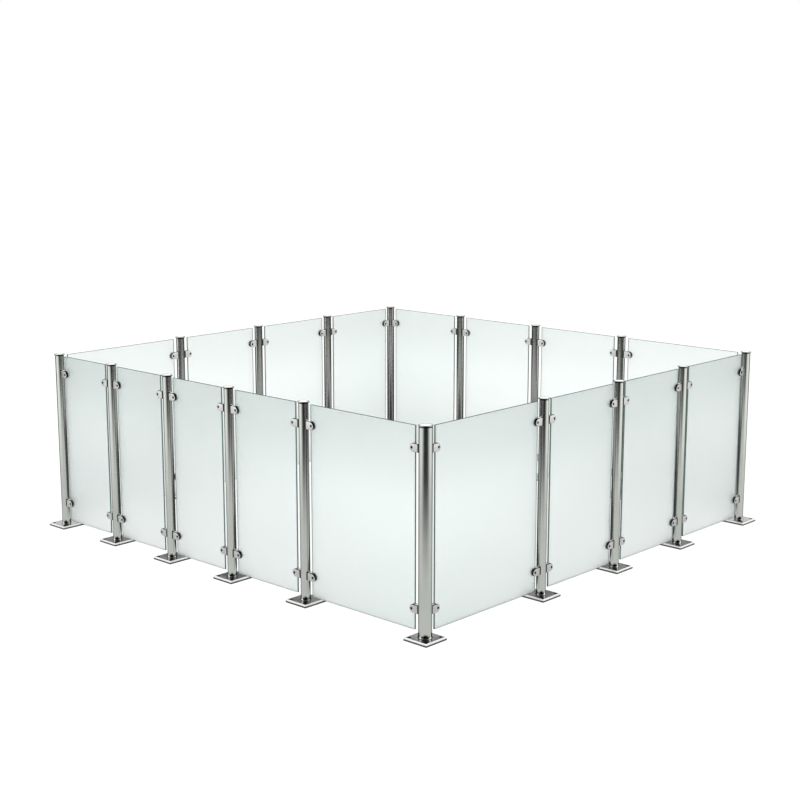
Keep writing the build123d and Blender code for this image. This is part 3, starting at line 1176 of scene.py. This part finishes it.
class ENCLOSURE_OT_screws(bpy.types.Operator):
    """Make the clamp screws and finish the screws that hold the clamps to the posts"""

    bl_idname = "enclosure.screws"
    bl_label = "Screws"

    def execute(self, context):
        clamps, screws, finishes = settings(context, "clamps", "screws", "finishes")
        steel = metal("Dark screw", finishes.screw, finishes.clamp_roughness, EVEN_GRAIN, SCREW_RELIEF)
        made_of, spots = (clamps, screws), clamp_spots(clamps)
        nodes = node_names("clamp_screws")
        stand("socket_screws", make_screw, made_of, spots, steel.material, "screw_steel", nodes)
        dress(node_names("post_screws"), steel.material)
        return {"FINISHED"}


class ENCLOSURE_OT_stage(bpy.types.Operator):
    """Set up the floor, the light and the camera"""

    bl_idname = "enclosure.stage"
    bl_label = "Stage"

    def execute(self, context):
        (stage,) = settings(context, "stage")
        make_floor(stage)
        make_world(context.scene, stage)
        make_lamps()
        make_camera(context.scene, stage)
        context.scene.view_settings.view_transform = "Standard"
        return {"FINISHED"}


# Stage. Steel mirrors a studio of its own: a dark room with bright softboxes on both sides

WHITE = (1.0, 1.0, 1.0, 1.0)
DIAGONAL = math.radians(-45.0)
FLOOR_TO_THE_EYE = 0.72
FLOOR_WHITE = 1.2
# Shades of the floor's painted reflection in steel
FLOOR_NEAR = 0.80
FLOOR_FAR = (0.02, 1.25, 0.25, 0.9)
FLOOR_REACH = (0.0, 1.0, 2.4, 5.2)
FLOOR_INSIDE = 0.08
FLOOR_INSIDE_BORDER = 0.1
FLOOR_BEHIND = (1.0, 0.08, 0.4, 1.2)
ROOM_DARK = 0.05
ROOM_LOWER = (0.5, 1.9, 0.11, 0.17)
ROOM_UPPER = (1.0, 0.4, 0.24, 0.33)
ROOM_TOP = (1.0, 0.0, 0.8, 0.92)
ROOM_SIDES = (0.0, 1.0, 0.5, 0.8)
ROOM_FRONT = (0.0, 1.0, -0.3, -0.05)
SOFTBOX = 3.0
LAMPS = (
    ("key_lamp", (-3.5, -1.0, 5.0), 3.0, 60.0),
    ("fill_lamp", (3.0, -4.0, 5.0), 4.0, 40.0),
)
CAMERA_REACH = 200.0


def turned_to_corner(finish, vector):
    """The parts of a vector: X along the front corner's diagonal, away from the eye, and Y across it."""
    turned = finish.add("ShaderNodeVectorRotate", {"rotation_type": "Z_AXIS"}, Vector=vector, Angle=DIAGONAL)
    return finish.parts(turned["Vector"])


def reach_of(finish, parts):
    """Length of a vector on the ground."""
    squares = [finish.times(parts[axis], parts[axis]) for axis in "XY"]
    return finish.math("SQRT", finish.plus(*squares))


def sideways_share(finish, parts):
    """How far a vector on the ground goes sideways, from nought to one."""
    return finish.math("DIVIDE", finish.math("ABSOLUTE", parts["Y"]), reach_of(finish, parts))


def reflected(finish, path):
    """One for rays that a surface mirrors, and nought for those that go through a sheet."""
    return finish.times(path["Is Glossy Ray"], finish.minus(1.0, path["Is Transmission Ray"]))


def seen(finish, path):
    """One for rays from the eye, also through a sheet."""
    return finish.math("MAXIMUM", path["Is Camera Ray"], path["Is Transmission Ray"])


def grey(finish, value):
    """A colour of equal parts from a value."""
    return finish.add("ShaderNodeCombineColor", Red=value, Green=value, Blue=value)["Color"]


def make_floor(stage):
    """Pale floor for the fence to stand on, which takes its shadow."""
    bm = bmesh.new()
    bmesh.ops.create_circle(bm, cap_ends=True, segments=TUBE_FACETS, radius=stage.floor_radius)
    mesh = bpy.data.meshes.new("stage_floor")
    bm.to_mesh(mesh)
    bm.free()
    mesh.materials.append(floor_finish("Studio floor", stage))
    new_object("stage_floor", mesh)


def floor_finish(name, stage):
    """Nearly white to the eye, matt to the lamps, and in steel a painted reflection that glows on its own."""
    finish = Finish(name)
    path = finish.add("ShaderNodeLightPath")
    matt = finish.add("ShaderNodeBsdfDiffuse", Color=shade(stage.floor_colour))["BSDF"]
    bright = finish.spread(path["Is Transmission Ray"], FLOOR_WHITE, FLOOR_WHITE + stage.glow, 0.0, 1.0)
    white = finish.add("ShaderNodeEmission", Strength=bright)["Emission"]
    eye = finish.blend(finish.times(seen(finish, path), FLOOR_TO_THE_EYE), matt, white)
    tone = grey(finish, floor_in_steel(finish, stage))
    in_steel = finish.add("ShaderNodeEmission", Color=tone)["Emission"]
    finish.show(finish.blend(reflected(finish, path), eye, in_steel))
    finish.tree.nodes.remove(finish.shader)
    return finish.material


def floor_in_steel(finish, stage):
    """The floor's painted reflection in steel: bright near the fence and far to its sides, painted shade
    inside it, and dark behind it and far in front.
    """
    turned = turned_to_corner(finish, finish.place)
    far = finish.ease(sideways_share(finish, turned), *FLOOR_FAR)
    outside = finish.toward(finish.ease(reach_of(finish, turned), *FLOOR_REACH), FLOOR_NEAR, far)
    place = finish.parts(finish.place)
    within = [
        finish.ease(finish.math("ABSOLUTE", place[axis]), 1.0, 0.0, half - FLOOR_INSIDE_BORDER, half)
        for axis, half in (("X", stage.inside_half_x), ("Y", stage.inside_half_y))
    ]
    level = finish.toward(finish.times(*within), outside, FLOOR_INSIDE)
    return finish.times(level, finish.ease(turned["X"], *FLOOR_BEHIND))


class Sky(Finish):
    """The world, fed in the same short ways as a material."""

    def __init__(self, world):
        world.use_nodes = True
        self.tree = world.node_tree
        self.shader = self.tree.nodes["Background"]
        self.place = self.add("ShaderNodeTexCoord")["Generated"]


def make_world(scene, stage):
    """Even daylight, a white backdrop to the eye, and a room of its own in steel."""
    world = bpy.data.worlds.new("Studio")
    scene.world = world
    sky = Sky(world)
    path = sky.add("ShaderNodeLightPath")
    even = sky.spread(seen(sky, path), stage.daylight, 1.0, 0.0, 1.0)
    even = sky.plus(even, sky.times(path["Is Transmission Ray"], stage.glow))
    sky.drive(Color=WHITE, Strength=sky.toward(reflected(sky, path), even, room_in_steel(sky)))


def room_in_steel(sky):
    """Dark towards the eye and above, with a bright band low behind and a softbox on each side."""
    turned = turned_to_corner(sky, sky.place)
    height = turned["Z"]
    ahead = sky.times(sky.ease(height, *ROOM_LOWER), sky.ease(height, *ROOM_UPPER))
    room = sky.toward(sky.ease(sideways_share(sky, turned), *ROOM_SIDES), ahead, SOFTBOX)
    facing = sky.times(sky.ease(height, *ROOM_TOP), sky.ease(turned["X"], *ROOM_FRONT))
    return sky.plus(ROOM_DARK, sky.times(room, facing))


def make_lamps():
    """Two large soft lamps that model the rubber and give the faint shadow its side."""
    for name, place, side, energy in LAMPS:
        data = bpy.data.lights.new(name, "AREA")
        data.size = side
        data.energy = energy
        lamp = bpy.data.objects.new(name, data)
        bpy.context.scene.collection.objects.link(lamp)
        lamp.location = place
        lamp.rotation_euler = (-Vector(place)).to_track_quat("-Z", "Y").to_euler()
        lamp.visible_glossy = False


def make_camera(scene, stage):
    """The camera at the reference view."""
    data = bpy.data.cameras.new("view_camera")
    data.lens = stage.lens
    data.clip_end = CAMERA_REACH
    camera = bpy.data.objects.new("view_camera", data)
    scene.collection.objects.link(camera)
    camera.location = (stage.camera_distance_x, stage.camera_distance_y, stage.camera_height)
    camera.rotation_euler = (math.pi / 2 - stage.camera_dip, 0.0, -stage.camera_turn)
    scene.camera = camera


# Panel and registration

SETTINGS = {
    "enclosure_posts": EnclosurePostSizes,
    "enclosure_caps": EnclosureCapSizes,
    "enclosure_clamps": EnclosureClampSizes,
    "enclosure_screws": EnclosureScrewSizes,
    "enclosure_finishes": EnclosureFinishes,
    "enclosure_stage": EnclosureStage,
}
OPERATORS = (
    ENCLOSURE_OT_posts,
    ENCLOSURE_OT_caps,
    ENCLOSURE_OT_panels,
    ENCLOSURE_OT_clamps,
    ENCLOSURE_OT_rubbers,
    ENCLOSURE_OT_screws,
    ENCLOSURE_OT_stage,
)


class ENCLOSURE_PT_sidebar(bpy.types.Panel):
    """Lists the sizes and the steps"""

    bl_idname = "ENCLOSURE_PT_sidebar"
    bl_label = "Enclosure"
    bl_space_type = "VIEW_3D"
    bl_region_type = "UI"
    bl_category = "Enclosure"

    def draw(self, context):
        for name, group in SETTINGS.items():
            box = self.layout.box()
            box.label(text=name.replace("enclosure_", "").capitalize())
            for setting in group.__annotations__:
                box.prop(getattr(context.scene, name), setting)
        for operator in OPERATORS:
            self.layout.operator(operator.bl_idname)


CLASSES = (*SETTINGS.values(), *OPERATORS, ENCLOSURE_PT_sidebar)


def register():
    for cls in CLASSES:
        bpy.utils.register_class(cls)
    for name, group in SETTINGS.items():
        setattr(bpy.types.Scene, name, bpy.props.PointerProperty(type=group))


def unregister():
    for name in SETTINGS:
        delattr(bpy.types.Scene, name)
    for cls in reversed(CLASSES):
        bpy.utils.unregister_class(cls)


def main():
    register()
    for step in ("posts", "caps", "panels", "clamps", "rubbers", "screws", "stage"):
        getattr(bpy.ops.enclosure, step)()


if __name__ == "__main__":
    main()
